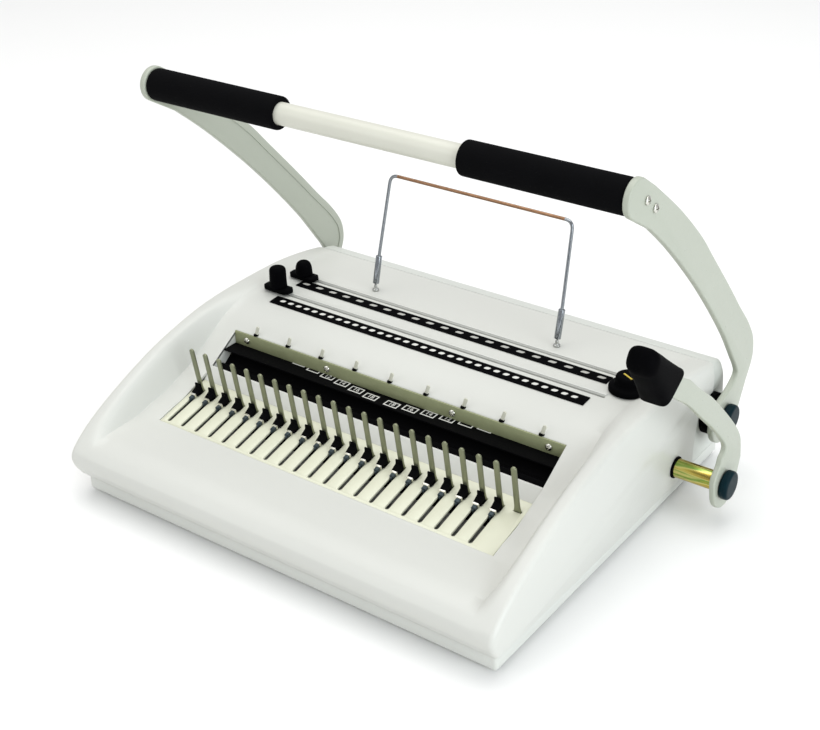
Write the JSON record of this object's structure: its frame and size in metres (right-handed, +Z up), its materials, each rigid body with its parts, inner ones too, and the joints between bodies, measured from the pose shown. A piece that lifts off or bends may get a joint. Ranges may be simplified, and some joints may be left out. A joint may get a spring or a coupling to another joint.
{
  "type": "comb and wire binding machine",
  "caption": "Desk punch and binding machine for plastic combs and wire loops, with a wide two-armed handle, a side comb lever, upright pins, wire trough and wire bail.",
  "frame": {"origin": "middle of the footprint, on the surface the machine stands on", "axes": "+X along the binding edge to the user's right, +Y to the rear, +Z up"},
  "size_m": [0.4634, 0.3632, 0.3124],
  "materials": {
    "ivory": "smooth moulded, soft gloss",
    "cover_grey": "smooth moulded, satin",
    "base_grey": "painted sheet, satin",
    "cream": "smooth paint, satin",
    "arm_paint": "smooth paint, semi gloss",
    "black_plastic": "fine grain",
    "foam": "soft foam",
    "rubber": "matte",
    "cap_plastic": "satin",
    "steel": "plain",
    "bright_steel": "bright plated",
    "plated_steel": "dull plated",
    "yellow_zinc": "yellow passivated zinc",
    "black_steel": "black paint"
  },
  "bodies": {
    "base": {"base_plate": "base_grey", "foot_1": "rubber", "foot_2": "rubber", "foot_3": "rubber", "foot_4": "rubber", "casing": "ivory", "rear_cover": "cover_grey", "frame_plate_right": "steel", "frame_plate_left": "steel", "comb_plate": "cream", "pin_rake": "bright_steel", "trough_plate": "black_steel", "jaw_strip": "plated_steel", "wire_pin_rail": "bright_steel", "wire_scale_strip": "black_plastic", "comb_scale_strip": "black_plastic", "wire_die": "steel", "comb_die": "steel", "shaft_collar_right": "black_plastic", "shaft_collar_left": "black_plastic", "bail_socket_right": "steel", "bail_socket_left": "steel"},
    "tray": {"chip_tray": "black_plastic"},
    "handle": {"main_shaft": "steel", "drive_cam_right": "steel", "drive_cam_left": "steel", "shaft_sleeve_right": "yellow_zinc", "shaft_sleeve_left": "yellow_zinc", "main_arm_right": "arm_paint", "main_arm_left": "arm_paint", "shaft_cap_right": "cap_plastic", "shaft_cap_left": "cap_plastic", "handle_tube": "arm_paint", "handle_grip_right": "foam", "handle_grip_left": "foam"},
    "punches": {"wire_punch_bar": "steel", "comb_punch_bar": "steel", "punch_slide_right": "steel", "punch_slide_left": "steel"},
    "closer": {"closing_bar": "black_steel"},
    "lever": {"lever_shaft": "steel", "lever_washer": "black_plastic", "lever_sleeve": "yellow_zinc", "lever_arm": "arm_paint", "lever_grip": "black_plastic", "lever_cap": "cap_plastic"},
    "hooks": {"hook_carriage": "bright_steel", "hook_rod_right": "steel", "hook_rod_left": "steel"},
    "bail": {"wire_bail": "bright_steel", "bail_sleeve_right": "bright_steel", "bail_sleeve_left": "bright_steel"},
    "wire_guide": {"wire_guide_slide": "black_plastic"},
    "wire_knob": {"wire_guide_knob": "black_plastic"},
    "comb_guide": {"comb_guide_slide": "black_plastic"},
    "comb_knob": {"comb_guide_knob": "black_plastic"},
    "dial": {"selector_dial": "black_plastic"}
  },
  "joints": [
    {"name": "handle_hinge", "type": "hinge", "parent": "base", "child": "handle", "pos_m": [-0.01305, 0.13458, 0.0545], "axis": [1, 0, 0], "range_deg": [0, 46]},
    {"name": "punch_slide", "type": "slide", "parent": "base", "child": "punches", "axis": [0, -1, 0], "range_m": [0, 0.013]},
    {"name": "closing_slide", "type": "slide", "parent": "base", "child": "closer", "axis": [0, 0.7986, 0.6018], "range_m": [0, 0.012]},
    {"name": "lever_hinge", "type": "hinge", "parent": "base", "child": "lever", "pos_m": [-0.01305, 0.07508, 0.035], "axis": [1, 0, 0], "range_deg": [0, 38]},
    {"name": "hook_slide", "type": "slide", "parent": "base", "child": "hooks", "axis": [0, -0.9732, -0.23], "range_m": [0, 0.0225]},
    {"name": "bail_hinge", "type": "hinge", "parent": "base", "child": "bail", "pos_m": [-0.01305, 0.07558, 0.11149], "axis": [1, 0, 0], "range_deg": [-4, 96]},
    {"name": "wire_guide_slide", "type": "slide", "parent": "base", "child": "wire_guide", "axis": [1, 0, 0], "range_m": [-0.008, 0.01]},
    {"name": "wire_knob_turn", "type": "hinge", "parent": "wire_guide", "child": "wire_knob", "pos_m": [-0.16805, 0.02728, 0.10852], "axis": [0, 0, 1], "range_deg": [0, 180]},
    {"name": "comb_guide_slide", "type": "slide", "parent": "base", "child": "comb_guide", "axis": [1, 0, 0], "range_m": [-0.008, 0.01]},
    {"name": "comb_knob_turn", "type": "hinge", "parent": "comb_guide", "child": "comb_knob", "pos_m": [-0.16505, 0.05758, 0.10888], "axis": [0, 0, 1], "range_deg": [0, 180]},
    {"name": "dial_turn", "type": "hinge", "parent": "base", "child": "dial", "pos_m": [0.15445, 0.04558, 0.10883], "axis": [0, 0, 1], "range_deg": [-40, 40]},
    {"name": "tray_slide", "type": "slide", "parent": "base", "child": "tray", "axis": [0, 1, 0], "range_m": [0, 0.14]}
  ],
  "couplings": [
    {"joint": "punch_slide", "follows": "handle_hinge", "m_per_rad": 0.016068},
    {"joint": "closing_slide", "follows": "handle_hinge", "m_per_rad": 0.014822},
    {"joint": "hook_slide", "follows": "lever_hinge", "m_per_rad": 0.033774}
  ]
}
